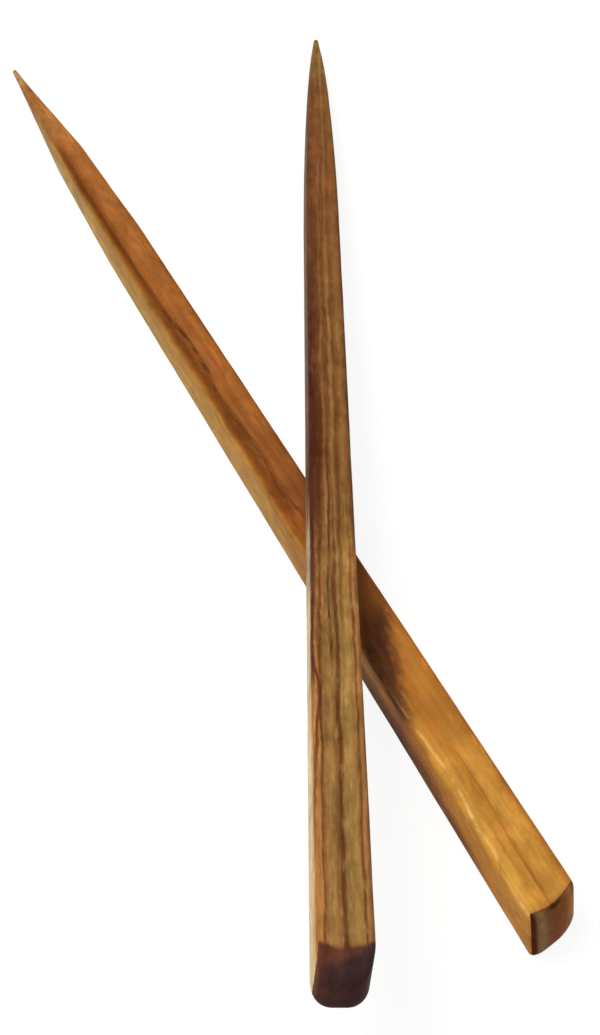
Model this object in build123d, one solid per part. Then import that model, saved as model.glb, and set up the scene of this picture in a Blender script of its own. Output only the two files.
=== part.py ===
"""A pair of hand-made wooden chopsticks, lying crossed on a table.

Each stick is a tapered bar of rectangular section with eased long edges (arrises), a sharpened
tip and a slanted, rounded butt. The lower stick lies flat on its underside. The upper stick
leans on the lower stick's top right arris, with its point on the table and its butt in the air.

Row frame, millimetres: +Z up, +Y halfway between the two sticks and towards their tips. The
origin is on the table, below the point where the two centre lines cross.
"""
from build123d import *
from dataclasses import dataclass
from math import cos, radians, sin, tan
import os

# Both sticks. Lengths run from the point to where the middle of the top face ends at the butt.
arris_radius = 0.8        # easing of the long edges
tip_round_length = 0.6    # how far the blunted point is rounded

# Upper stick
upper_length = 230.4
upper_width = 8.4
upper_height = 7.6
upper_neck_width = 6.7          # where the sharpening of the tip begins
upper_neck_height = 6.1
upper_tip_length = 68.0
upper_tip_size = 1.1            # across the blunted point
upper_butt_slant = 22.0         # degrees the cut leans, so that the underside is the longer face
upper_butt_skew = 3.0           # degrees the cut turns, so that the left side is the longer one
upper_butt_round_length = 5.0   # how far the rounded butt stands out past its cut
upper_worn_radius = 1.2         # the lower right long edge is rounded more

# Lower stick
lower_length = 227.4
lower_width = 8.9
lower_height = 10.3
lower_neck_width = 7.3
lower_neck_height = 8.5
lower_tip_length = 64.0
lower_tip_size = 1.0
lower_butt_slant = 12.5
lower_butt_skew = 11.0
lower_butt_round_length = 2.0
lower_worn_radius = 3.0
underside_planing = 0.1   # taken off the underside, so that the stick lies on a true flat

# How they lie
crossing_angle = 26.0     # degrees, seen from above
upper_crossing = 76.7     # along the upper stick, from the end of its top face
lower_crossing = 71.5     # along the lower stick, from the end of its top face
resting_clearance = 0.05  # hairline gap where the upper stick leans on the lower one

# Sharpening: share of the tip's length from its point, share of the growth to full section
carved_tip_shares = ((0.0, 0.0), (0.05, 0.14), (0.12, 0.32), (0.26, 0.56), (0.41, 0.73), (0.6, 0.87),
                     (0.8, 0.96))
planed_tip_shares = ((0.0, 0.0), (0.53, 0.78))

# Rounded ends: how far each section has turned, as a share of a right angle
round_turn_shares = (0.93, 0.84, 0.72, 0.56, 0.38, 0.19)
round_fullness_share = 0.62   # under 1 keeps the end full to near its middle
corner_growth_share = 0.75    # how far the corners open into a round towards the middle
corner_limit_share = 0.48     # the largest corner radius, of the section's smaller side
butt_drop_share = 0.12        # how far the butt's middle sits below its centre, of the height


@dataclass(frozen=True)
class Stick:
    """Sizes of one stick. Its own frame has +Y to the tip and the underside at z = 0."""
    length: float
    width: float
    height: float
    neck_width: float
    neck_height: float
    tip_length: float
    tip_size: float
    butt_slant: float
    butt_skew: float
    butt_round_length: float
    worn_radius: float
    tip_shares: tuple
    tip_is_planed: bool

    @property
    def neck(self):
        """Where the straight taper ends and the sharpening begins."""
        return self.length - self.tip_length

    def width_at(self, y):
        return self.width + (self.neck_width - self.width) * y / self.neck

    def height_at(self, y):
        return self.height + (self.neck_height - self.height) * y / self.neck


upper_stick = Stick(upper_length, upper_width, upper_height, upper_neck_width, upper_neck_height,
                    upper_tip_length, upper_tip_size, upper_butt_slant, upper_butt_skew,
                    upper_butt_round_length, upper_worn_radius, carved_tip_shares, False)
lower_stick = Stick(lower_length, lower_width, lower_height, lower_neck_width, lower_neck_height,
                    lower_tip_length, lower_tip_size, lower_butt_slant, lower_butt_skew,
                    lower_butt_round_length, lower_worn_radius, planed_tip_shares, True)


def cut_plane(y, z, slant=0.0, skew=0.0):
    """Plane across the stick, facing the butt.

    Its top leans to the tip by slant, its right side turns to the tip by skew, in degrees.
    """
    lean = radians(slant)
    turn = radians(skew)
    facing = (sin(turn) * cos(lean), -cos(turn) * cos(lean), sin(lean))
    return Plane((0, y, z), x_dir=(cos(turn), sin(turn), 0), z_dir=facing)


def section(plane, width, height, worn_radius, opening=0.0):
    """Rectangle with eased corners. An opening of 1 turns the corners into a full round."""
    limit = corner_limit_share * min(width, height)
    radii = [min(r, limit) for r in (arris_radius, worn_radius, arris_radius, arris_radius)]
    radii = [r + (limit - r) * opening for r in radii]
    x = width / 2
    z = height / 2
    outline = FilletPolyline((-x, -z), (x, -z), (x, z), (-x, z), radius=radii, close=True)
    return plane * make_face(outline)


def rounded_end(plane, width, height, worn_radius, depth, direction, drop_share=0.0):
    """Sections from near an end's middle back to its cut, each smaller one further out."""
    sections = []
    for turn_share in round_turn_shares:
        turn = radians(90 * turn_share)
        size_share = cos(turn) ** round_fullness_share
        shrunk_share = 1 - size_share
        drop = plane.y_dir * (-drop_share * height * shrunk_share)
        out = direction * (depth * sin(turn))
        moved = Plane(plane.origin + drop + out, x_dir=plane.x_dir, z_dir=plane.z_dir)
        sections.append(section(moved, width * size_share, height * size_share, worn_radius,
                                corner_growth_share * shrunk_share))
    sections.append(section(plane, width, height, worn_radius))
    return sections


def make_butt(stick):
    """Slanted cut with a full, rounded end. Returns the solid and the cut's own section."""
    lean = radians(stick.butt_slant)
    turn = radians(stick.butt_skew)
    setback = stick.height * tan(lean) / 2 / cos(turn)
    cut = cut_plane(-setback, stick.height / 2, stick.butt_slant, stick.butt_skew)
    sections = rounded_end(cut, stick.width / cos(turn), stick.height / cos(lean), stick.worn_radius,
                           stick.butt_round_length, Vector(0, -1, 0), butt_drop_share)
    return loft(sections), sections[-1]


def make_tip(stick):
    """Sharpened tip, from its blunted point back to the neck."""
    sections = []
    for along_share, growth_share in stick.tip_shares:
        y = stick.length - stick.tip_length * along_share
        width = stick.tip_size + (stick.width_at(y) - stick.tip_size) * growth_share
        height = stick.tip_size + (stick.height_at(y) - stick.tip_size) * growth_share
        sections.append(section(cut_plane(y, stick.height_at(y) / 2), width, height, stick.worn_radius))
    sections.append(neck_section(stick))
    point_plane = cut_plane(stick.length, stick.height_at(stick.length) / 2)
    point = rounded_end(point_plane, stick.tip_size, stick.tip_size, stick.worn_radius,
                        tip_round_length, Vector(0, 1, 0))
    return loft(point) + loft(sections, ruled=stick.tip_is_planed)


def neck_section(stick):
    plane = cut_plane(stick.neck, stick.neck_height / 2)
    return section(plane, stick.neck_width, stick.neck_height, stick.worn_radius)


def make_stick(stick):
    """Whole stick in its own frame."""
    butt, cut = make_butt(stick)
    shaft = loft([cut, neck_section(stick)], ruled=True)
    return butt + shaft + make_tip(stick)


def lower_place():
    """The lower stick lies on its planed underside, its tip turned to the left of +Y."""
    turn = Rotation(0, 0, crossing_angle / 2)
    return turn * Pos(0, -lower_crossing, -underside_planing)


def upper_place():
    """The upper stick's underside holds the lower stick's top right arris, its point is down.

    The plane is worked out in the lower stick's frame. It runs along the arris, and it falls
    across the arris as steeply as brings the stick's point to the table.
    """
    angle = radians(crossing_angle)
    half = lower_stick.width_at(lower_crossing) / 2
    touch_y = lower_crossing + half / tan(angle)
    touch = Vector(lower_stick.width_at(touch_y) / 2, touch_y, lower_stick.height_at(touch_y))
    reach = upper_crossing + half / sin(angle)

    fall_along = (lower_stick.height - lower_stick.neck_height) / lower_stick.neck
    point_across = (upper_length - reach) * sin(angle)
    point_along = (upper_length - reach) * cos(angle)
    point_above = (upper_stick.height_at(upper_length) - upper_tip_size) / 2
    drop = touch.Z - underside_planing + point_above
    fall_across = (drop - fall_along * point_along) / point_across

    normal = Vector(fall_across, fall_along, 1).normalized()
    rise = -fall_across * sin(angle) - fall_along * cos(angle)
    axis = Vector(sin(angle), cos(angle), rise).normalized()
    butt = touch - axis * reach + normal * resting_clearance
    leaning = Plane(butt, x_dir=axis.cross(normal), z_dir=normal)
    return lower_place() * leaning.location


def main():
    os.makedirs("parts", exist_ok=True)
    lower = split(lower_place() * make_stick(lower_stick), bisect_by=Plane.XY, keep=Keep.TOP)
    export_step(lower, "parts/lower_chopstick.step")
    export_step(upper_place() * make_stick(upper_stick), "parts/upper_chopstick.step")


main()
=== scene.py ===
"""A pair of hand-made wooden chopsticks, lying crossed on a white table.

Each stick is one piece of oiled olive wood. A Geometry Nodes tree makes its shape from a few
sizes, the mesh is laid where the frame's stick lies, and it replaces that stick.
"""
from math import cos, pi, radians, sin, tan

import bmesh
import bpy
from mathutils import Matrix, Vector


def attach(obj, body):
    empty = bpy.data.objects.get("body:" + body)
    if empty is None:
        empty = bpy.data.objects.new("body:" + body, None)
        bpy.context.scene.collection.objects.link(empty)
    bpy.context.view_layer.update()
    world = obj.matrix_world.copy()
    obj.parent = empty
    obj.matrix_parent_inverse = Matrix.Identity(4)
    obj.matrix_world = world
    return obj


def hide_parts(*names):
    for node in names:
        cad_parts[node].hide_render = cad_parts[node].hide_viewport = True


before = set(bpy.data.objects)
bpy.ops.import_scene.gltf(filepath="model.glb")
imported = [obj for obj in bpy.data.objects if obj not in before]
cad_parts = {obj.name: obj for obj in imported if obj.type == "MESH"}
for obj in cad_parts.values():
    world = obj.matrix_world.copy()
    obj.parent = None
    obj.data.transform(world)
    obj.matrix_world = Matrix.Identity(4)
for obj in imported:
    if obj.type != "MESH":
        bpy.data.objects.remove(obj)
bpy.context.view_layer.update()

bl_info = {
    "name": "Wooden Chopsticks",
    "version": (1, 0, 0),
    "blender": (4, 5, 0),
    "location": "3D View > Sidebar > Chopsticks",
    "description": "A crossed pair of hand-made wooden chopsticks on a white table",
    "category": "Object",
}

MM = 0.001
BODY = "root"
PLACE = "wood_place"     # attribute: across, along and below the top face, in metres
END = "end_turn"         # attribute: 0 on the long faces, rising to 1 in the middle of the butt

# The mesh: points around a section and along a stick, and how they are shared out
AROUND = 97
ALONG = 700
FLAT_SHARE = 0.22        # of a quarter section, spent on each half face
BUTT_END = 0.06          # of the way along, where the butt's dome ends
SHAFT_END = 0.6          # where the sharpening starts
TIP_END = 0.985          # where the blunted point starts
MERGE = 0.001 * MM       # closes the seam and the poles

# Shape rules that both sticks share
TIP_ROUND = 0.6 * MM     # how far the blunted point is rounded
FULLNESS = 0.62          # of the rounded ends: under 1 keeps them full to near their middle
CORNER_GROWTH = 0.75     # how far the corners open into a round towards the middle
CORNER_LIMIT = 0.48      # the largest corner radius, of the section's smaller side
BUTT_DROP = 0.12         # how far the butt's middle sits below its centre, of the height
CUT_FADE = 30 * MM       # along the shaft, where the lean of the butt's cut has faded out

# Sharpening: share of the tip's length from its point, share of the growth to full section
CARVED_TIP = ((0.0, 0.0), (0.05, 0.14), (0.12, 0.32), (0.26, 0.56), (0.41, 0.73), (0.6, 0.87),
              (0.8, 0.96), (1.0, 1.0))
PLANED_TIP = ((0.0, 0.0), (0.53, 0.78), (1.0, 1.0))

# Marks of the hand work
KNIFE_LENGTH = 14 * MM   # of one stroke along a long edge
KNIFE_CHANGE = 0.25      # share by which a stroke changes the edge's easing
PLANE_LENGTH = 16 * MM   # of one rise and fall along a face
PLANE_WIDTH = 7 * MM

# Patterns in the wood, in millimetres: thickness and length, then the noise's detail and roughness
PATTERNS = {
    "drift": (9, 42, 1.0, 0.5),
    "ripple": (3, 11, 3.0, 0.6),
    "fleck": (0.7, 3.2, 3.0, 0.5),
    "mottle": (1.5, 3.4, 4.0, 0.6),
    "flame": (5, 8, 1.0, 0.5),
    "pore": (0.2, 2.6, 0.0, 0.5),
}
NOISE_LOW = 0.3          # a noise seldom leaves this range
NOISE_HIGH = 0.7
DRIFT = 1.0              # how far the growth layers drift sideways
LINE_THICKNESS = 0.55    # of the fine growth lines
LINE_LENGTH = 26
FRAYED_CHANGE = 60.0     # length of the fingers where the butt's bands change to the tip's
TIP_FLECKS = 0.35        # share of the flecks that the tip's half has
BAND_REACH = 8.0         # bands of colour are placed up to this far from the middle
VEIN_LENGTH = 240.0      # a vein's curves run from 0 to 1, for this length and this spread
VEIN_SPREAD = 20.0
RAGGED_RIM = 0.12        # share of the butt's turn by which the rim of the end grain is uneven
KNOT_COLOUR = "#3A2018"
KNOT_SIZE = (1.5, 0.18, 2.2)      # across, share of the butt's turn, and down from the top face
KNOT_PLACE = (0.1, 0.9, -0.4)     # counted in its own sizes


def length_property(name, description, size):
    """A length in metres with its default given in millimetres."""
    return bpy.props.FloatProperty(name=name, description=description, default=size * MM,
                                   unit="LENGTH", subtype="DISTANCE", precision=4)


def angle_property(name, description, degrees):
    return bpy.props.FloatProperty(name=name, description=description, default=radians(degrees),
                                   unit="ROTATION", subtype="ANGLE")


def colour_property(name, description, colour):
    return bpy.props.FloatVectorProperty(name=name, description=description, subtype="COLOR",
                                         default=linear(colour), size=4, min=0, max=1)


def linear(colour):
    """An sRGB hex colour as linear RGBA."""
    shares = [int(colour[i:i + 2], 16) / 255 for i in (1, 3, 5)]
    return tuple(c / 12.92 if c <= 0.04045 else ((c + 0.055) / 1.055) ** 2.4 for c in shares) + (1.0,)


class UpperStickSettings(bpy.types.PropertyGroup):
    """Sizes of the upper stick."""
    length: length_property("Length", "From the point to the end of the top face", 230.4)
    width: length_property("Width", "Across the butt", 8.4)
    height: length_property("Height", "From underside to top at the butt", 7.6)
    neck_width: length_property("Neck Width", "Where the sharpening begins", 6.7)
    neck_height: length_property("Neck Height", "Where the sharpening begins", 6.1)
    tip_length: length_property("Tip Length", "Length of the sharpening", 68.0)
    tip_size: length_property("Tip Size", "Across the blunted point", 1.1)
    butt_slant: angle_property("Butt Slant", "Lean of the cut, the underside being longer", 22.0)
    butt_skew: angle_property("Butt Skew", "Turn of the cut, the left side being longer", 3.0)
    butt_round: length_property("Butt Round", "How far the rounded butt stands out", 5.0)
    worn_arris: length_property("Worn Arris", "Easing of the lower right long edge", 1.2)
    planing: length_property("Planing", "Taken off the underside to make it a flat", 0.0)


class LowerStickSettings(bpy.types.PropertyGroup):
    """Sizes of the lower stick."""
    length: length_property("Length", "From the point to the end of the top face", 227.4)
    width: length_property("Width", "Across the butt", 8.9)
    height: length_property("Height", "From underside to top at the butt", 10.3)
    neck_width: length_property("Neck Width", "Where the sharpening begins", 7.3)
    neck_height: length_property("Neck Height", "Where the sharpening begins", 8.5)
    tip_length: length_property("Tip Length", "Length of the sharpening", 64.0)
    tip_size: length_property("Tip Size", "Across the blunted point", 1.0)
    butt_slant: angle_property("Butt Slant", "Lean of the cut, the underside being longer", 12.5)
    butt_skew: angle_property("Butt Skew", "Turn of the cut, the left side being longer", 11.0)
    butt_round: length_property("Butt Round", "How far the rounded butt stands out", 2.0)
    worn_arris: length_property("Worn Arris", "Easing of the lower right long edge", 3.0)
    planing: length_property("Planing", "Taken off the underside to make it a flat", 0.1)


class PairSettings(bpy.types.PropertyGroup):
    """How the sticks lie and how a hand has worked their edges."""
    crossing_angle: angle_property("Crossing Angle", "Between the sticks, seen from above", 26.0)
    upper_crossing: length_property("Upper Crossing", "Along the upper stick from its butt", 76.7)
    lower_crossing: length_property("Lower Crossing", "Along the lower stick from its butt", 71.5)
    clearance: length_property("Clearance", "Hairline gap where the sticks touch", 0.05)
    arris: length_property("Arris", "Easing of the long edges", 0.8)
    waviness: length_property("Waviness", "How far the hand-cut faces rise and fall", 0.06)


class StageSettings(bpy.types.PropertyGroup):
    """The table, the light and the camera."""
    table_colour: colour_property("Table Colour", "White table top", "#F2F2F0")
    table_size: length_property("Table Size", "Side of the table top", 3000.0)
    world_light: bpy.props.FloatProperty(name="World Light", description="Light from all round",
                                         default=0.36, min=0)
    key_power: bpy.props.FloatProperty(name="Key Power", description="Soft lamp on the left, in watts",
                                       default=4.8, min=0)
    fill_power: bpy.props.FloatProperty(name="Fill Power", description="Soft lamp overhead, in watts",
                                        default=0.8, min=0)
    lens: bpy.props.FloatProperty(name="Lens", description="Focal length in millimetres",
                                  default=55.85, min=1)


def add(tree, kind, inputs=(), **settings):
    """Adds a node with its settings. Inputs go by order or by name and are values or links.

    A node given as an input stands for its first output in use.
    """
    node = tree.nodes.new(kind)
    for name, value in settings.items():
        setattr(node, name, value)
    pairs = inputs.items() if isinstance(inputs, dict) else enumerate(inputs)
    for key, value in pairs:
        if isinstance(value, bpy.types.Node):
            value = next(socket for socket in value.outputs if socket.enabled)
        if isinstance(value, bpy.types.NodeSocket):
            tree.links.new(value, node.inputs[key])
        else:
            node.inputs[key].default_value = value
    return node


MATH = "ShaderNodeMath"
RANGE = "ShaderNodeMapRange"
VECTOR = "ShaderNodeVectorMath"


def draw_curve(node, points, handle):
    """Sets a Float Curve's points."""
    curve = node.mapping.curves[0]
    for place, value in points[1:-1]:
        curve.points.new(place, value)
    curve.points[0].location = points[0]
    curve.points[-1].location = points[-1]
    for point in curve.points:
        point.handle_type = handle
    node.mapping.update()


# The tree's inputs, named as the settings that fill them
STICK_INPUTS = ("Length", "Width", "Height", "Neck Width", "Neck Height", "Tip Length", "Tip Size",
                "Butt Slant", "Butt Skew", "Butt Round", "Worn Arris", "Planing")
PAIR_INPUTS = ("Arris", "Waviness")


def stick_tree(name, tip_shares, handle):
    """A stick as a grid rolled up round its length, butt at the start and tip along +Y."""
    tree = bpy.data.node_groups.new(name, "GeometryNodeTree")
    tree.interface.new_socket("Stick", in_out="OUTPUT", socket_type="NodeSocketGeometry")
    for label in STICK_INPUTS + PAIR_INPUTS + ("Seed",):
        tree.interface.new_socket(label, in_out="INPUT", socket_type="NodeSocketFloat")
    tree.interface.new_socket("Wood", in_out="INPUT", socket_type="NodeSocketMaterial")
    size = tree.nodes.new("NodeGroupInput").outputs

    # Where each point of the grid lies: round the section and along the stick
    grid = add(tree, "GeometryNodeMeshGrid",
               {"Size X": 1.0, "Size Y": 1.0, "Vertices X": AROUND, "Vertices Y": ALONG})
    flat = add(tree, "ShaderNodeSeparateXYZ", [grid.outputs["UV Map"]])
    round_share = flat.outputs["X"]
    along_share = flat.outputs["Y"]

    # The station along the stick, and the section that its taper gives there
    neck = add(tree, MATH, (size["Length"], size["Tip Length"]), operation="SUBTRACT")
    shaft_y = add(tree, RANGE, (along_share, BUTT_END, SHAFT_END, 0.0, neck))
    tip_y = add(tree, RANGE, (along_share, SHAFT_END, TIP_END, 0.0, size["Tip Length"]))
    station = add(tree, MATH, (shaft_y, tip_y), operation="ADD")
    full_width = add(tree, RANGE, (station, 0.0, neck, size["Width"], size["Neck Width"]), clamp=False)
    full_height = add(tree, RANGE, (station, 0.0, neck, size["Height"], size["Neck Height"]),
                      clamp=False)
    from_point = add(tree, RANGE, (station, neck, size["Length"], 1.0, 0.0))
    growth = add(tree, "ShaderNodeFloatCurve", (1.0, from_point), label="Sharpening")
    draw_curve(growth, tip_shares, handle)
    cut_width = add(tree, RANGE, (growth, 0.0, 1.0, size["Tip Size"], full_width))
    cut_height = add(tree, RANGE, (growth, 0.0, 1.0, size["Tip Size"], full_height))

    # The rounded ends: the section shrinks as the surface turns through a right angle
    butt_turn = add(tree, RANGE, (along_share, 0.0, BUTT_END, pi / 2, 0.0))
    tip_turn = add(tree, RANGE, (along_share, TIP_END, 1.0, 0.0, pi / 2))
    turn = add(tree, MATH, (butt_turn, tip_turn), operation="ADD")
    facing = add(tree, MATH, (add(tree, MATH, [turn], operation="COSINE"), 0.0), operation="MAXIMUM")
    share = add(tree, MATH, (facing, FULLNESS), operation="POWER")
    shrunk = add(tree, MATH, (1.0, share), operation="SUBTRACT")
    half_width = add(tree, MATH, (add(tree, MATH, (cut_width, share), operation="MULTIPLY"), 0.5),
                     operation="MULTIPLY")
    half_height = add(tree, MATH, (add(tree, MATH, (cut_height, share), operation="MULTIPLY"), 0.5),
                      operation="MULTIPLY")

    # Which quarter of the section a point is in, and how far round it
    angle = add(tree, MATH, (round_share, 2 * pi), operation="MULTIPLY")
    side = add(tree, MATH, [add(tree, MATH, [angle], operation="COSINE")], operation="SIGN")
    top = add(tree, MATH, [add(tree, MATH, [angle], operation="SINE")], operation="SIGN")
    quarters = add(tree, MATH, (round_share, 4.0), operation="MULTIPLY")
    quarter = add(tree, MATH, (quarters, 1.0), operation="PINGPONG")

    # The easing of each long edge wanders along the stick, as a knife leaves it
    lower_right = add(tree, MATH, (side, top), operation="SUBTRACT")
    easing = add(tree, RANGE, (lower_right, 1.0, 2.0, size["Arris"], size["Worn Arris"]))
    knife_place = add(tree, "ShaderNodeCombineXYZ",
                      (side, add(tree, MATH, (station, 1 / KNIFE_LENGTH), operation="MULTIPLY"), top))
    knife = add(tree, "ShaderNodeTexNoise",
                {"Vector": knife_place, "W": size["Seed"], "Scale": 1.0, "Detail": 2.0},
                noise_dimensions="4D")
    knife_change = add(tree, RANGE, (knife, NOISE_LOW, NOISE_HIGH, 1 - KNIFE_CHANGE, 1 + KNIFE_CHANGE))
    eased = add(tree, MATH, (easing, knife_change), operation="MULTIPLY")
    smaller = add(tree, MATH, (half_width, half_height), operation="MINIMUM")
    limit = add(tree, MATH, (smaller, 2 * CORNER_LIMIT), operation="MULTIPLY")
    held = add(tree, MATH, (eased, limit), operation="MINIMUM")
    radius = add(tree, RANGE, (shrunk, 0.0, 1 / CORNER_GROWTH, held, limit))

    # The rectangle with eased corners
    swing = add(tree, RANGE, (quarter, FLAT_SHARE, 1 - FLAT_SHARE, 0.0, pi / 2))
    flat_x = add(tree, RANGE, (quarter, 1 - FLAT_SHARE, 1.0,
                               add(tree, MATH, (half_width, radius), operation="SUBTRACT"), 0.0))
    flat_z = add(tree, RANGE, (quarter, 0.0, FLAT_SHARE, 0.0,
                               add(tree, MATH, (half_height, radius), operation="SUBTRACT")))
    arc_x = add(tree, MATH, (add(tree, MATH, [swing], operation="COSINE"), radius, flat_x),
                operation="MULTIPLY_ADD")
    arc_z = add(tree, MATH, (add(tree, MATH, [swing], operation="SINE"), radius, flat_z),
                operation="MULTIPLY_ADD")
    across = add(tree, MATH, (arc_x, side), operation="MULTIPLY")
    section_z = add(tree, MATH, (arc_z, top), operation="MULTIPLY")

    # Its height above the underside. The middle of the butt sits a little low.
    at_butt = add(tree, RANGE, (along_share, BUTT_END, SHAFT_END, BUTT_DROP, 0.0))
    low_share = add(tree, MATH, (at_butt, shrunk), operation="MULTIPLY")
    centre_share = add(tree, MATH, (0.5, low_share), operation="SUBTRACT")
    height = add(tree, MATH, (full_height, centre_share, section_z), operation="MULTIPLY_ADD")

    # The butt's cut leans and turns, which fades out along the shaft
    fade = add(tree, RANGE, (station, 0.0, CUT_FADE, 1.0, 0.0), interpolation_type="SMOOTHSTEP")
    below_top = add(tree, MATH, (height, size["Height"]), operation="SUBTRACT")
    lean = add(tree, MATH, (below_top, add(tree, MATH, [size["Butt Slant"]], operation="TANGENT")),
               operation="MULTIPLY")
    slanted = add(tree, MATH, (across, add(tree, MATH, [size["Butt Skew"]], operation="TANGENT"), lean),
                  operation="MULTIPLY_ADD")
    dome = add(tree, MATH, (add(tree, MATH, [butt_turn], operation="SINE"), size["Butt Round"]),
               operation="MULTIPLY")
    point = add(tree, MATH, (add(tree, MATH, [tip_turn], operation="SINE"), TIP_ROUND),
                operation="MULTIPLY")
    ends = add(tree, MATH, (point, dome), operation="SUBTRACT")
    cut_y = add(tree, MATH, (slanted, fade, station), operation="MULTIPLY_ADD")
    along = add(tree, MATH, (cut_y, ends), operation="ADD")
    position = add(tree, "ShaderNodeCombineXYZ", (across, along, height))
    rolled = add(tree, "GeometryNodeSetPosition",
                 {"Geometry": grid.outputs["Mesh"], "Position": position})

    # What the wood's pattern follows, kept before the faces are worked
    even_across = add(tree, MATH, (add(tree, MATH, (across, size["Width"]), operation="MULTIPLY"),
                                   full_width), operation="DIVIDE")
    depth = add(tree, MATH, (height, full_height), operation="SUBTRACT")
    placed = add(tree, "GeometryNodeStoreNamedAttribute",
                 {"Geometry": rolled, "Name": PLACE,
                  "Value": add(tree, "ShaderNodeCombineXYZ", (even_across, along, depth))},
                 data_type="FLOAT_VECTOR")
    turned = add(tree, "GeometryNodeStoreNamedAttribute",
                 {"Geometry": placed, "Name": END,
                  "Value": add(tree, MATH, (butt_turn, 2 / pi), operation="MULTIPLY")},
                 data_type="FLOAT")

    # The faces rise and fall along the stick, as planing by hand leaves them
    joined = add(tree, "GeometryNodeMergeByDistance", {"Geometry": turned, "Distance": MERGE})
    cut_place = add(tree, VECTOR, (add(tree, "GeometryNodeInputPosition"),
                                   (1 / PLANE_WIDTH, 1 / PLANE_LENGTH, 1 / PLANE_WIDTH)),
                    operation="MULTIPLY")
    planing = add(tree, "ShaderNodeTexNoise",
                  {"Vector": cut_place, "W": size["Seed"], "Scale": 1.0, "Detail": 1.0},
                  noise_dimensions="4D")
    rise = add(tree, MATH, (add(tree, MATH, (planing, 0.5), operation="SUBTRACT"), size["Waviness"]),
               operation="MULTIPLY")
    wave = add(tree, VECTOR, {0: add(tree, "GeometryNodeInputNormal"), "Scale": rise}, operation="SCALE")
    worked = add(tree, "GeometryNodeSetPosition", {"Geometry": joined, "Offset": wave})

    # The underside is planed to a flat
    point_now = add(tree, "ShaderNodeSeparateXYZ", [add(tree, "GeometryNodeInputPosition")])
    floor_z = add(tree, MATH, (point_now.outputs["Z"], size["Planing"]), operation="MAXIMUM")
    flat_place = add(tree, "ShaderNodeCombineXYZ", (point_now.outputs["X"], point_now.outputs["Y"],
                                                    floor_z))
    planed = add(tree, "GeometryNodeSetPosition", {"Geometry": worked, "Position": flat_place})
    smooth = add(tree, "GeometryNodeSetShadeSmooth", [planed])
    solid = add(tree, "GeometryNodeRealizeInstances", [smooth])
    finished = add(tree, "GeometryNodeSetMaterial", {"Geometry": solid, "Material": size["Wood"]})
    add(tree, "NodeGroupOutput", [finished])
    return tree


def make_stick(node, tree, values, place):
    """Runs a stick's tree, lays the mesh in its place and lets it stand for the frame's node."""
    name = node + "_wood"
    holder = bpy.data.objects.new(name, bpy.data.meshes.new(name))
    bpy.context.scene.collection.objects.link(holder)
    modifier = holder.modifiers.new("Stick", "NODES")
    modifier.node_group = tree
    for item in tree.interface.items_tree:
        if item.in_out == "INPUT":
            modifier[item.identifier] = values[item.name]
    bpy.context.view_layer.update()
    evaluated = holder.evaluated_get(bpy.context.evaluated_depsgraph_get())
    mesh = bpy.data.meshes.new_from_object(evaluated)
    holder.modifiers.remove(modifier)
    holder.data = mesh
    mesh.name = name
    mesh.transform(place)
    shell = bmesh.new()
    shell.from_mesh(mesh)
    bmesh.ops.recalc_face_normals(shell, faces=shell.faces)
    shell.to_mesh(mesh)
    shell.free()
    if not mesh.materials:
        raise RuntimeError(name + " has no wood on it")
    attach(holder, BODY)
    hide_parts(node)


def stick_values(settings, pair, seed, wood):
    """The values of the tree's inputs by their names."""
    values = {"Seed": seed, "Wood": wood}
    for holder, labels in ((settings, STICK_INPUTS), (pair, PAIR_INPUTS)):
        for label in labels:
            values[label] = getattr(holder, label.lower().replace(" ", "_"))
    return values


def width_at(stick, y):
    return stick.width + (stick.neck_width - stick.width) * y / (stick.length - stick.tip_length)


def height_at(stick, y):
    return stick.height + (stick.neck_height - stick.height) * y / (stick.length - stick.tip_length)


def lower_place(pair, lower):
    """The lower stick lies on its planed underside, its tip turned to the left of +Y."""
    turn = Matrix.Rotation(pair.crossing_angle / 2, 4, "Z")
    return turn @ Matrix.Translation((0, -pair.lower_crossing, -lower.planing))


def upper_place(pair, lower, upper):
    """The upper stick's underside holds the lower stick's top right edge, its point is down."""
    angle = pair.crossing_angle
    half = width_at(lower, pair.lower_crossing) / 2
    touch_y = pair.lower_crossing + half / tan(angle)
    touch = Vector((width_at(lower, touch_y) / 2, touch_y, height_at(lower, touch_y)))
    reach = pair.upper_crossing + half / sin(angle)

    fall_along = (lower.height - lower.neck_height) / (lower.length - lower.tip_length)
    point_across = (upper.length - reach) * sin(angle)
    point_along = (upper.length - reach) * cos(angle)
    point_above = (height_at(upper, upper.length) - upper.tip_size) / 2
    drop = touch.z - lower.planing + point_above
    fall_across = (drop - fall_along * point_along) / point_across

    normal = Vector((fall_across, fall_along, 1)).normalized()
    rise = -fall_across * sin(angle) - fall_along * cos(angle)
    axis = Vector((sin(angle), cos(angle), rise)).normalized()
    butt = touch - axis * reach + normal * pair.clearance
    leaning = Matrix((axis.cross(normal), axis, normal)).transposed().to_4x4()
    return lower_place(pair, lower) @ Matrix.Translation(butt) @ leaning


def add_bands(tree, across, bands):
    """Bands of colour across the stick. Each is millimetres from the middle and a colour."""
    share = add(tree, RANGE, (across, -BAND_REACH, BAND_REACH, 0.0, 1.0))
    banded = add(tree, "ShaderNodeValToRGB", [share])
    ramp = banded.color_ramp
    while len(ramp.elements) > 1:
        ramp.elements.remove(ramp.elements[-1])
    for number, (place, colour) in enumerate(bands):
        position = (place + BAND_REACH) / (2 * BAND_REACH)
        element = ramp.elements[0] if number == 0 else ramp.elements.new(position)
        element.position = position
        element.color = linear(colour)
    return banded


def along_stick(points):
    """Points of millimetres along and a value. The first and last values go on to the ends."""
    points = list(points)
    if points[0][0] > 0:
        points.insert(0, (0.0, points[0][1]))
    if points[-1][0] < VEIN_LENGTH:
        points.append((VEIN_LENGTH, points[-1][1]))
    return [(y / VEIN_LENGTH, value) for y, value in points]


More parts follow.
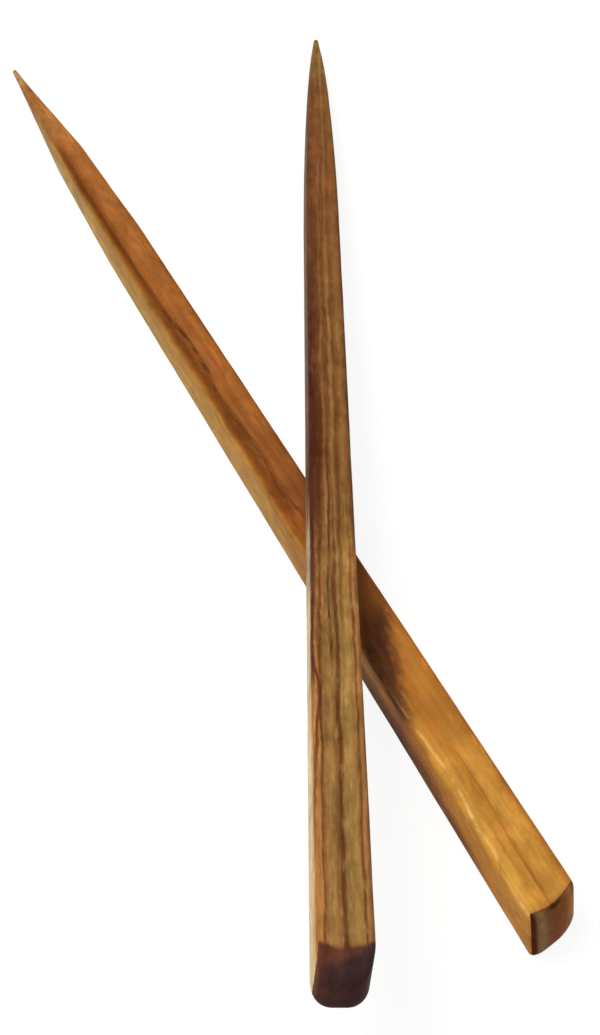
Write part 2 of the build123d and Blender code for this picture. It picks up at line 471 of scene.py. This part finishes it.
def add_vein(tree, colour, layer, mottle, along, vein):
    """Lays a vein over a colour, along a path across the growth layers. A painted highlight and painted
    shadow are laid the same way. The mottle frays it.
    """
    place = add(tree, MATH, (along, VEIN_LENGTH), operation="DIVIDE")
    path = add(tree, "ShaderNodeFloatCurve", (1.0, place), label="Vein path")
    draw_curve(path, along_stick([(y, x / VEIN_SPREAD + 0.5) for y, x in vein["path"]]), "AUTO")
    strength = add(tree, "ShaderNodeFloatCurve", (1.0, place), label="Vein strength")
    draw_curve(strength, along_stick(vein["strength"]), "AUTO")
    centre = add(tree, RANGE, (path, 0.0, 1.0, -VEIN_SPREAD / 2, VEIN_SPREAD / 2))
    off = add(tree, MATH, [add(tree, MATH, (layer, centre), operation="SUBTRACT")],
              operation="ABSOLUTE")
    uneven = add(tree, MATH, (mottle, 0.5), operation="SUBTRACT")
    off = add(tree, MATH, (uneven, vein["width"], off), operation="MULTIPLY_ADD")
    near = add(tree, RANGE, (off, 0.35 * vein["width"], vein["width"], 1.0, 0.0),
               interpolation_type="SMOOTHSTEP")
    frayed = add(tree, RANGE, (mottle, 0.4, 0.56, 1.0 - vein["fray"], 1.0))
    whole = add(tree, MATH, (near, strength), operation="MULTIPLY", use_clamp=True)
    share = add(tree, MATH, (whole, frayed), operation="MULTIPLY")
    return add(tree, "ShaderNodeMix", {"Factor": share, "A": colour, "B": linear(vein["colour"])},
               data_type="RGBA")


def growth_layer(tree, parts, noise, look):
    """Millimetres across the growth layers, which lean through the stick and wander along it."""
    layer = add(tree, MATH, (parts["Z"], look["layer_lean"], parts["X"]), operation="MULTIPLY_ADD")
    for wander, reach in ((noise["drift"], DRIFT), (noise["ripple"], look["ripple"])):
        off = add(tree, MATH, (wander, 0.5), operation="SUBTRACT")
        layer = add(tree, MATH, (off, reach, layer), operation="MULTIPLY_ADD")
    return layer


def long_grain(tree, layer, along, noise, look):
    """The colour of the long faces: bands, pale flecks of resin and single veins, among them a painted
    highlight and painted shadow on the lower stick.
    """
    off = add(tree, MATH, (noise["ripple"], 0.5), operation="SUBTRACT")
    change_at = add(tree, MATH, (off, FRAYED_CHANGE, along), operation="MULTIPLY_ADD")
    start, stop = look["change"]
    tip_share = add(tree, RANGE, (change_at, start, stop, 0.0, 1.0), interpolation_type="SMOOTHSTEP")
    colour = add(tree, "ShaderNodeMix",
                 {"Factor": tip_share, "A": add_bands(tree, layer, look["butt_bands"]),
                  "B": add_bands(tree, layer, look["tip_bands"])}, data_type="RGBA")
    fleck_most = add(tree, RANGE, (tip_share, 0.0, 1.0, look["fleck_share"],
                                   TIP_FLECKS * look["fleck_share"]))
    fleck_share = add(tree, RANGE, (noise["fleck"], look["fleck_from"], 0.78, 0.0, fleck_most))
    colour = add(tree, "ShaderNodeMix",
                 {"Factor": fleck_share, "A": colour, "B": linear(look["fleck"])}, data_type="RGBA")
    for vein in look["veins_and_painted_light"]:
        colour = add_vein(tree, colour, layer, noise["mottle"], along, vein)
    return colour


def add_end_grain(tree, colour, parts, mottle, mottle_light, look):
    """Lays the butt's end over a colour. End grain soaks up the oil and darkens."""
    turn = add(tree, "ShaderNodeAttribute", attribute_name=END).outputs["Fac"]
    side_share = add(tree, MATH, (parts["X"], 1 / look["half_width"]), operation="MULTIPLY")

    # The top face reaches over its rim in a shallow arc, and the left face by its edge
    arc = add(tree, MATH, (1.0, add(tree, MATH, (side_share, 2.0), operation="POWER")),
              operation="SUBTRACT")
    near_top = add(tree, RANGE, (parts["Z"], -1.9, -0.7, 0.0, look["rim_reach"]))
    top_rim = add(tree, MATH, (arc, near_top), operation="MULTIPLY", use_clamp=True)
    left_rim = add(tree, RANGE, (side_share, -0.97, -0.9, look["side_reach"], 0.0))
    rim = add(tree, MATH, (top_rim, left_rim), operation="MAXIMUM")
    ragged = add(tree, MATH, (add(tree, MATH, (mottle, 0.5), operation="SUBTRACT"), RAGGED_RIM,
                              rim), operation="MULTIPLY_ADD")
    past_rim = add(tree, MATH, (turn, ragged), operation="SUBTRACT")

    # Bands across it, a ring inside the rim and a knot
    ring_edge = add(tree, MATH, (side_share, look["ring_lean"], past_rim), operation="MULTIPLY_ADD")
    in_ring = add(tree, RANGE, (ring_edge, 0.5 * look["ring_width"], look["ring_width"], 1.0, 0.0),
                  interpolation_type="SMOOTHSTEP")
    ringed = add(tree, "ShaderNodeMix",
                 {"Factor": in_ring, "A": add_bands(tree, parts["X"], look["end_bands"]),
                  "B": linear(look["ring"])}, data_type="RGBA")
    end_place = add(tree, "ShaderNodeCombineXYZ", (parts["X"], past_rim, parts["Z"]))
    knot_place = add(tree, VECTOR, (end_place, [1 / size for size in KNOT_SIZE]), operation="MULTIPLY")
    knot_far = add(tree, VECTOR, (knot_place, KNOT_PLACE), operation="DISTANCE")
    knot_share = add(tree, RANGE, (knot_far, 0.3, 1.3, look["knot_share"], 0.0),
                     interpolation_type="SMOOTHSTEP")
    knotted = add(tree, "ShaderNodeMix", {"Factor": knot_share, "A": ringed, "B": linear(KNOT_COLOUR)},
                  data_type="RGBA")
    end = add(tree, VECTOR, {0: knotted, "Scale": mottle_light}, operation="SCALE")
    at_end = add(tree, RANGE, (past_rim, 0.0, 0.08, 0.0, 1.0))
    return add(tree, "ShaderNodeMix", {"Factor": at_end, "A": colour, "B": end}, data_type="RGBA")


def wood_material(name, look):
    """Oiled olive wood, cut along the grain and rubbed smooth.

    The eye sees wandering streaks from honey to dark brown, fine fibres along the stick, a few
    short pores, a soft shine that follows the hand-cut faces, and dark, soaked end grain. The lower
    stick also gets a painted highlight on its left edge and painted shadow near the crossing.
    """
    material = bpy.data.materials.new(name)
    material.use_nodes = True
    tree = material.node_tree
    tree.nodes.clear()
    place = add(tree, "ShaderNodeAttribute", attribute_name=PLACE)
    place_mm = add(tree, VECTOR, {0: place.outputs["Vector"], "Scale": 1 / MM}, operation="SCALE")
    parts = add(tree, "ShaderNodeSeparateXYZ", [place_mm]).outputs
    along = parts["Y"]
    noise = {}
    for label, (thickness, length, detail, roughness) in PATTERNS.items():
        scaled = add(tree, VECTOR, (place_mm, (1 / thickness, 1 / length, 1 / thickness)),
                     operation="MULTIPLY")
        noise[label] = add(tree, "ShaderNodeTexNoise",
                           {"Vector": scaled, "W": look["seed"], "Scale": 1.0, "Detail": detail,
                            "Roughness": roughness}, noise_dimensions="4D")
    mottle = noise["mottle"]
    layer = growth_layer(tree, parts, noise, look)
    colour = long_grain(tree, layer, along, noise, look)

    # Fine growth lines follow the layers. The mottle, a broad flame and the pores lie over them.
    line_place = add(tree, "ShaderNodeCombineXYZ",
                     (add(tree, MATH, (layer, 1 / LINE_THICKNESS), operation="MULTIPLY"),
                      add(tree, MATH, (along, 1 / LINE_LENGTH), operation="MULTIPLY"), 0.0))
    fibre = add(tree, "ShaderNodeTexNoise",
                {"Vector": line_place, "W": look["seed"], "Scale": 1.0, "Detail": 4.0,
                 "Roughness": 0.62}, noise_dimensions="4D")
    fibre_light = add(tree, RANGE, (fibre, NOISE_LOW, NOISE_HIGH, 1 - look["line_depth"],
                                    1 + look["line_depth"]))
    mottle_light = add(tree, RANGE, (mottle, NOISE_LOW, NOISE_HIGH, 1 - look["mottle_depth"],
                                     1 + look["mottle_depth"]))
    flame_light = add(tree, RANGE, (noise["flame"], 0.35, 0.65, 1 - look["flame_depth"],
                                    1 + look["flame_depth"]))
    grain_light = add(tree, MATH, (fibre_light, mottle_light), operation="MULTIPLY")
    grain_light = add(tree, MATH, (grain_light, flame_light), operation="MULTIPLY")
    colour = add(tree, VECTOR, {0: colour, "Scale": grain_light}, operation="SCALE")
    pore_share = add(tree, RANGE, (noise["pore"], 0.7, 0.8, 0.0, 0.3))
    colour = add(tree, "ShaderNodeMix",
                 {"Factor": pore_share, "A": colour, "B": linear(look["pore"])}, data_type="RGBA")
    colour = add_end_grain(tree, colour, parts, mottle, mottle_light, look)

    # The oil leaves a soft shine. Fibres and knife marks show in it.
    relief = add(tree, MATH, (fibre, 0.35, mottle), operation="MULTIPLY_ADD")
    bump = add(tree, "ShaderNodeBump", {"Strength": 0.35, "Distance": 0.08 * MM, "Height": relief})
    roughness = add(tree, RANGE, (mottle, NOISE_LOW, NOISE_HIGH, 0.42, 0.58))
    surface = add(tree, "ShaderNodeBsdfPrincipled",
                  {"Base Color": colour, "Roughness": roughness, "IOR": 1.5,
                   "Specular IOR Level": 0.02, "Normal": bump})
    add(tree, "ShaderNodeOutputMaterial", {"Surface": surface})
    return material


# How each stick's wood looks, in millimetres. Along counts from the butt. Across counts from the
# middle of the top face, and what lies further left than its edge is down the left side.
UPPER_LOOK = {
    "seed": 3.0, "half_width": 4.2, "layer_lean": 0.3, "ripple": 1.6,
    "change": (52.0, 92.0), "line_depth": 0.24, "mottle_depth": 0.3, "flame_depth": 0.16,
    "butt_bands": ((-7.0, "#E8D4A4"), (-4.6, "#D6BA88"), (-4.1, "#AC6E36"), (-3.2, "#B47842"),
                   (-2.8, "#724220"), (-2.4, "#966838"), (-1.4, "#A67C44"), (-0.5, "#8E6234"),
                   (-0.2, "#6C3E22"), (0.2, "#704222"), (0.5, "#94703C"), (1.5, "#AC8246"),
                   (2.6, "#A0743C"), (2.9, "#704624"), (3.3, "#B07842"), (4.0, "#9C6A40"),
                   (6.0, "#784E2C")),
    "tip_bands": ((-7.0, "#8A6C48"), (-4.6, "#6A4428"), (-4.2, "#4A2614"), (-3.2, "#643820"),
                  (-1.9, "#744424"), (-1.3, "#8E6034"), (-0.9, "#704024"), (-0.3, "#7C4E2A"),
                  (0.4, "#9E723E"), (0.9, "#7C4E28"), (1.6, "#80522A"), (2.3, "#946838"),
                  (3.1, "#8A5C30"), (3.8, "#664224"), (6.0, "#5A3820")),
    "veins_and_painted_light": (
        # Thin line that swings in from the left edge near the butt
        {"path": ((0.0, -4.4), (25.0, -3.9), (34.0, -3.5), (41.0, -3.0), (47.0, -3.7), (75.0, -4.0),
                  (240.0, -4.2)),
         "strength": ((0.0, 0.0), (16.0, 0.2), (30.0, 0.8), (46.0, 0.9), (54.0, 0.0), (90.0, 0.0)),
         "width": 0.38, "fray": 0.3, "colour": "#5E2E18"},
        # Dark left edge, from before the crossing to halfway along
        {"path": ((0.0, -4.2), (50.0, -4.1), (75.0, -4.1), (100.0, -4.2)),
         "strength": ((40.0, 0.0), (46.0, 0.9), (90.0, 0.9), (120.0, 0.5), (160.0, 0.0)),
         "width": 0.85, "fray": 0.3, "colour": "#4E2220"},
        # Dark line left of the middle, at the crossing
        {"path": ((0.0, -1.0), (40.0, -1.1), (62.0, -1.3), (78.0, -0.9), (100.0, -1.1), (240.0, -1.0)),
         "strength": ((40.0, 0.0), (50.0, 0.9), (80.0, 0.8), (95.0, 0.2), (110.0, 0.0)),
         "width": 0.4, "fray": 0.6, "colour": "#542A14"},
        # Brown line right of the middle, at the crossing
        {"path": ((0.0, 1.2), (60.0, 1.1), (100.0, 1.3), (240.0, 1.2)),
         "strength": ((48.0, 0.0), (58.0, 0.7), (90.0, 0.7), (110.0, 0.1), (130.0, 0.0)),
         "width": 0.5, "fray": 0.6, "colour": "#6A4020"},
        # Broad dark streak on the left, past the crossing
        {"path": ((0.0, -3.0), (78.0, -3.4), (100.0, -2.9), (130.0, -3.3), (240.0, -3.0)),
         "strength": ((70.0, 0.0), (82.0, 0.8), (102.0, 0.9), (114.0, 0.1), (124.0, 0.1), (140.0, 0.5),
                      (170.0, 0.2), (240.0, 0.0)),
         "width": 1.6, "fray": 0.5, "colour": "#4E2610"},
        # Brown over the whole top towards the tip
        {"path": ((0.0, 0.4),),
         "strength": ((126.0, 0.0), (146.0, 0.6), (200.0, 0.6), (216.0, 0.0)),
         "width": 7.0, "fray": 0.35, "colour": "#80502A"},
        # Golden point
        {"path": ((0.0, 0.0),),
         "strength": ((203.0, 0.0), (216.0, 0.6), (240.0, 0.85)),
         "width": 9.0, "fray": 0.2, "colour": "#8E6C34"},
        # Reddish streak on the left of the tip
        {"path": ((0.0, -1.8),),
         "strength": ((176.0, 0.0), (183.0, 0.6), (188.0, 0.5), (196.0, 0.0)),
         "width": 0.8, "fray": 0.6, "colour": "#944824"},
        # Reddish line on the right of the tip
        {"path": ((0.0, 2.3), (165.0, 2.2), (188.0, 2.5), (240.0, 2.3)),
         "strength": ((162.0, 0.0), (170.0, 0.7), (182.0, 0.6), (190.0, 0.0)),
         "width": 0.5, "fray": 0.6, "colour": "#A04C24"},
    ),
    "fleck": "#CFA868", "fleck_from": 0.53, "fleck_share": 0.5, "pore": "#3A2014",
    "rim_reach": 0.13, "side_reach": 0.5, "ring_width": 0.33, "ring_lean": 0.22, "ring": "#6A3E2E",
    "knot_share": 0.0,
    "end_bands": ((-4.3, "#6C3C30"), (-3.7, "#502E26"), (-1.0, "#4C3230"), (1.0, "#442C2C"),
                  (4.3, "#4A3230")),
}

LOWER_LOOK = {
    "seed": 8.0, "half_width": 4.45, "layer_lean": 0.25, "ripple": 0.9,
    "change": (48.0, 84.0), "line_depth": 0.13, "mottle_depth": 0.24, "flame_depth": 0.12,
    "butt_bands": ((-7.5, "#B87028"), (-6.2, "#C07A2C"), (-5.2, "#C0802C"), (-4.4, "#C88C38"),
                   (-3.4, "#D89E44"), (-2.0, "#D0903C"), (-0.6, "#CA8838"), (1.0, "#D09440"),
                   (3.0, "#CC8C3A"), (4.2, "#B4702E"), (6.0, "#86502A")),
    "tip_bands": ((-7.5, "#BC8E48"), (-5.6, "#BE8E46"), (-4.4, "#B07C3A"), (-3.9, "#985E28"),
                  (-3.2, "#804618"), (-2.4, "#7A441C"), (-1.6, "#945722"), (-0.6, "#A2602C"),
                  (0.8, "#A86630"), (2.4, "#A8662E"), (3.9, "#9A5A24"), (4.5, "#744420"),
                  (6.0, "#7C4E28")),
    "veins_and_painted_light": (
        # Thin line in the middle of the butt
        {"path": ((0.0, -0.4), (8.0, -0.6), (18.0, -0.2), (30.0, -0.4), (240.0, -1.0)),
         "strength": ((0.0, 0.4), (8.0, 0.55), (14.0, 0.4), (24.0, 0.4), (32.0, 0.0), (60.0, 0.0)),
         "width": 0.34, "fray": 0.5, "colour": "#84481A"},
        # Wavy dark streak from the crossing to the tip
        {"path": ((0.0, 0.5), (78.0, 0.2), (84.0, -1.2), (88.0, -1.8), (94.0, -1.0), (106.0, -1.6),
                  (113.0, -1.9), (120.0, -1.2), (126.0, -0.9), (138.0, -2.0), (160.0, -2.6),
                  (179.0, -3.0), (194.0, -2.2), (240.0, -2.0)),
         "strength": ((74.0, 0.0), (84.0, 0.8), (110.0, 0.7), (125.0, 0.9), (150.0, 0.7), (190.0, 0.7),
                      (202.0, 0.0)),
         "width": 0.8, "fray": 0.9, "colour": "#5A2A10"},
        # Red streak beside it
        {"path": ((0.0, 1.2), (84.0, 1.4), (98.0, 0.9), (110.0, 0.4), (122.0, 1.4), (138.0, 0.8)),
         "strength": ((76.0, 0.0), (84.0, 0.5), (132.0, 0.4), (150.0, 0.0)),
         "width": 0.9, "fray": 0.8, "colour": "#8E4218"},
        # Orange brown over the top before the crossing
        {"path": ((0.0, 0.0),),
         "strength": ((14.0, 0.0), (34.0, 0.5), (60.0, 0.7), (76.0, 0.5), (100.0, 0.0)),
         "width": 7.0, "fray": 0.5, "colour": "#A45A22"},
        # Dark heartwood crossing the stick slantwise before the crossing, with painted shadow of the
        # upper stick laid into it
        {"path": ((0.0, -9.0), (30.0, -8.0), (36.0, -6.4), (42.0, -5.0), (48.0, -2.9), (54.0, -0.4),
                  (58.0, 1.4), (66.0, 3.0), (90.0, 1.0), (240.0, 0.0)),
         "strength": ((32.0, 0.0), (38.0, 0.9), (52.0, 0.95), (58.0, 0.6), (70.0, 0.45), (80.0, 0.4),
                      (98.0, 0.2), (125.0, 0.0)),
         "width": 5.0, "fray": 0.15, "colour": "#4E2A20"},
        # Golden side at the butt
        {"path": ((0.0, -6.2),),
         "strength": ((0.0, 0.6), (7.0, 0.5), (14.0, 0.0), (40.0, 0.0)),
         "width": 2.4, "fray": 0.3, "colour": "#D0903E"},
        # Brown on the side
        {"path": ((0.0, -5.6), (240.0, -5.4)),
         "strength": ((24.0, 0.0), (32.0, 0.6), (39.0, 0.6), (46.0, 0.0)),
         "width": 1.9, "fray": 0.3, "colour": "#A4622C"},
        # Warm brown on the side, at the crossing
        {"path": ((0.0, -5.6), (60.0, -5.5), (240.0, -5.4)),
         "strength": ((36.0, 0.0), (44.0, 0.85), (70.0, 0.85), (84.0, 0.0)),
         "width": 1.7, "fray": 0.2, "colour": "#B87C3C"},
        # Dark line on the left edge
        {"path": ((0.0, -4.6), (40.0, -4.5), (60.0, -4.3)),
         "strength": ((34.0, 0.0), (40.0, 0.8), (45.0, 0.7), (52.0, 0.3), (66.0, 0.2), (76.0, 0.0)),
         "width": 0.42, "fray": 0.4, "colour": "#2E160C"},
        # Dark lower edge of the side
        {"path": ((0.0, -7.2), (24.0, -6.9), (45.0, -6.5), (60.0, -6.2), (90.0, -6.0)),
         "strength": ((0.0, 0.0), (10.0, 0.2), (20.0, 0.8), (36.0, 0.7), (60.0, 0.7), (74.0, 0.2),
                      (90.0, 0.0)),
         "width": 1.3, "fray": 0.4, "colour": "#4E2A16"},
        # Painted highlight along the eased left edge near the butt, broken and wavy
        {"path": ((0.0, -4.3), (6.0, -4.1), (10.0, -3.7), (16.0, -3.8), (21.0, -3.3), (28.0, -3.5),
                  (36.0, -4.0), (60.0, -4.4), (240.0, -4.5)),
         "strength": ((0.0, 0.7), (5.0, 0.3), (9.0, 0.3), (13.0, 0.7), (19.0, 0.9), (24.0, 0.4),
                      (30.0, 0.6), (36.0, 0.3), (44.0, 0.0), (60.0, 0.0)),
         "width": 0.36, "fray": 1.0, "colour": "#F0C272"},
        # Beige side of the tip
        {"path": ((0.0, -6.0), (150.0, -5.6), (175.0, -5.2), (190.0, -4.7), (200.0, -4.1),
                  (210.0, -3.2), (240.0, -3.0)),
         "strength": ((160.0, 0.0), (175.0, 0.8), (204.0, 0.8), (214.0, 0.0)),
         "width": 1.2, "fray": 0.1, "colour": "#BA9652"},
        # Orange tip
        {"path": ((0.0, 0.0),),
         "strength": ((190.0, 0.0), (204.0, 0.7), (216.0, 0.6), (224.0, 0.0)),
         "width": 9.0, "fray": 0.15, "colour": "#B67A40"},
        # Pale point
        {"path": ((0.0, 0.0),),
         "strength": ((214.0, 0.0), (224.0, 0.7), (240.0, 0.9)),
         "width": 9.0, "fray": 0.2, "colour": "#BE9A68"},
    ),
    "fleck": "#E4B264", "fleck_from": 0.58, "fleck_share": 0.35, "pore": "#4A2614",
    "rim_reach": 0.26, "side_reach": 0.3, "ring_width": 0.12, "ring_lean": 0.0, "ring": "#6A3A1C",
    "knot_share": 0.8,
    "end_bands": ((-4.5, "#4E1E08"), (-3.7, "#54220C"), (-3.2, "#8A6244"), (-2.4, "#967050"),
                  (-1.4, "#825432"), (0.0, "#7E482A"), (1.8, "#90562C"), (3.4, "#AC743E"),
                  (4.3, "#70462A")),
}


class CHOPSTICKS_OT_lower(bpy.types.Operator):
    """Makes the lower stick, planed in two bevels to its point and lying flat"""
    bl_idname = "chopsticks.lower"
    bl_label = "Make Lower Chopstick"

    def execute(self, context):
        scene = context.scene
        wood = wood_material("Oiled olive wood, orange heartwood", LOWER_LOOK)
        tree = stick_tree("Planed chopstick", PLANED_TIP, "VECTOR")
        values = stick_values(scene.lower_stick, scene.stick_pair, LOWER_LOOK["seed"], wood)
        make_stick("lower_chopstick", tree, values, lower_place(scene.stick_pair, scene.lower_stick))
        return {"FINISHED"}


class CHOPSTICKS_OT_upper(bpy.types.Operator):
    """Makes the upper stick, carved to its point and leaning on the lower one"""
    bl_idname = "chopsticks.upper"
    bl_label = "Make Upper Chopstick"

    def execute(self, context):
        scene = context.scene
        wood = wood_material("Oiled olive wood, dark heartwood", UPPER_LOOK)
        tree = stick_tree("Carved chopstick", CARVED_TIP, "AUTO")
        values = stick_values(scene.upper_stick, scene.stick_pair, UPPER_LOOK["seed"], wood)
        make_stick("upper_chopstick", tree, values,
                   upper_place(scene.stick_pair, scene.lower_stick, scene.upper_stick))
        return {"FINISHED"}


def seen_share(tree):
    """1 where the camera looks, straight, in a reflection or through something clear, else 0."""
    path = add(tree, "ShaderNodeLightPath").outputs
    seen = add(tree, MATH, (path["Is Camera Ray"], path["Is Glossy Ray"]), operation="MAXIMUM")
    return add(tree, MATH, (seen, path["Is Transmission Ray"]), operation="MAXIMUM")


def table_material(colour):
    """White laminate, seen as pure white, with the sticks' own soft shadow left in it."""
    material = bpy.data.materials.new("White laminate")
    material.use_nodes = True
    tree = material.node_tree
    tree.nodes.clear()
    share = add(tree, MATH, (seen_share(tree), 0.8), operation="MULTIPLY")
    laminate = add(tree, "ShaderNodeBsdfDiffuse", {"Color": colour})

    # Less lamplight falls far from the sticks, so the white is a little stronger there
    place = add(tree, "ShaderNodeTexCoord").outputs["Object"]
    away = add(tree, VECTOR, [place], operation="LENGTH")
    level = add(tree, RANGE, (away, 0.4, 1.2, 1.1, 1.22))
    white = add(tree, "ShaderNodeEmission", {"Strength": level})
    seen_white = add(tree, "ShaderNodeMixShader", (share, laminate, white))
    add(tree, "ShaderNodeOutputMaterial", {"Surface": seen_white})
    return material


def set_world(strength):
    """Even light from all round, which the camera and the shine see as white."""
    world = bpy.data.worlds.new("White room")
    bpy.context.scene.world = world
    world.use_nodes = True
    tree = world.node_tree
    tree.nodes.clear()
    level = add(tree, RANGE, (seen_share(tree), 0.0, 1.0, strength, 1.0))
    light = add(tree, "ShaderNodeBackground", {"Color": (1, 1, 1, 1), "Strength": level})
    add(tree, "ShaderNodeOutputWorld", {"Surface": light})


def add_lamp(name, power, side, place, target):
    """A square soft lamp that faces its target."""
    lamp = bpy.data.lights.new(name, "AREA")
    lamp.energy = power
    lamp.size = side
    holder = bpy.data.objects.new(name, lamp)
    holder.location = place
    holder.rotation_euler = (Vector(target) - Vector(place)).to_track_quat("-Z", "Y").to_euler()
    bpy.context.scene.collection.objects.link(holder)


def add_camera(lens):
    """Stands behind the butts and above them, looking down along the sticks."""
    place = Vector((-39.36, -157.87, 232.51)) * MM
    pitch, yaw, roll = radians(52.73), radians(12.38), radians(-1.49)
    data = bpy.data.cameras.new("Camera")
    data.lens = lens
    data.sensor_width = 36.0
    data.clip_start = 0.01
    camera = bpy.data.objects.new("Camera", data)
    turn = Matrix.Rotation(-yaw, 4, "Z") @ Matrix.Rotation(pi / 2 - pitch, 4, "X")
    camera.matrix_world = Matrix.Translation(place) @ turn @ Matrix.Rotation(roll, 4, "Z")
    bpy.context.scene.collection.objects.link(camera)
    bpy.context.scene.camera = camera


class CHOPSTICKS_OT_stage(bpy.types.Operator):
    """Sets up the white table, the soft light and the camera"""
    bl_idname = "chopsticks.stage"
    bl_label = "Make Stage"

    def execute(self, context):
        stage = context.scene.stick_stage
        half = stage.table_size / 2
        below = -0.02 * MM       # so that the lower stick's flat underside doesn't flicker on it
        mesh = bpy.data.meshes.new("table")
        corners = ((-half, -half, below), (half, -half, below), (half, half, below),
                   (-half, half, below))
        mesh.from_pydata(corners, [], [(0, 1, 2, 3)])
        mesh.materials.append(table_material(stage.table_colour))
        table = bpy.data.objects.new("table", mesh)
        context.scene.collection.objects.link(table)
        set_world(stage.world_light)
        middle = (0, 0.04, 0)
        add_lamp("Key", stage.key_power, side=0.5, place=(-0.3, 0.3, 0.75), target=middle)
        add_lamp("Fill", stage.fill_power, side=0.9, place=(-0.1, -0.5, 0.7), target=middle)
        add_camera(stage.lens)
        context.scene.view_settings.view_transform = "Standard"
        return {"FINISHED"}


class VIEW3D_PT_chopsticks(bpy.types.Panel):
    """Lists the sizes and the steps in the 3D view's sidebar"""
    bl_label = "Chopsticks"
    bl_idname = "VIEW3D_PT_chopsticks"
    bl_space_type = "VIEW_3D"
    bl_region_type = "UI"
    bl_category = "Chopsticks"

    def draw(self, context):
        layout = self.layout
        for holder in SETTINGS:
            settings = getattr(context.scene, holder)
            box = layout.box()
            box.label(text=holder.replace("_", " ").title())
            for name in settings.bl_rna.properties.keys():
                if name not in ("rna_type", "name"):
                    box.prop(settings, name)
        for operator in (CHOPSTICKS_OT_lower, CHOPSTICKS_OT_upper, CHOPSTICKS_OT_stage):
            layout.operator(operator.bl_idname)


SETTINGS = {"upper_stick": UpperStickSettings, "lower_stick": LowerStickSettings,
            "stick_pair": PairSettings, "stick_stage": StageSettings}
CLASSES = (*SETTINGS.values(), CHOPSTICKS_OT_lower, CHOPSTICKS_OT_upper, CHOPSTICKS_OT_stage,
           VIEW3D_PT_chopsticks)


def register():
    for cls in CLASSES:
        bpy.utils.register_class(cls)
    for holder, settings in SETTINGS.items():
        setattr(bpy.types.Scene, holder, bpy.props.PointerProperty(type=settings))


def unregister():
    for holder in SETTINGS:
        delattr(bpy.types.Scene, holder)
    for cls in reversed(CLASSES):
        bpy.utils.unregister_class(cls)


def main():
    register()
    bpy.ops.chopsticks.lower()
    bpy.ops.chopsticks.upper()
    bpy.ops.chopsticks.stage()


if __name__ == "__main__":
    main()
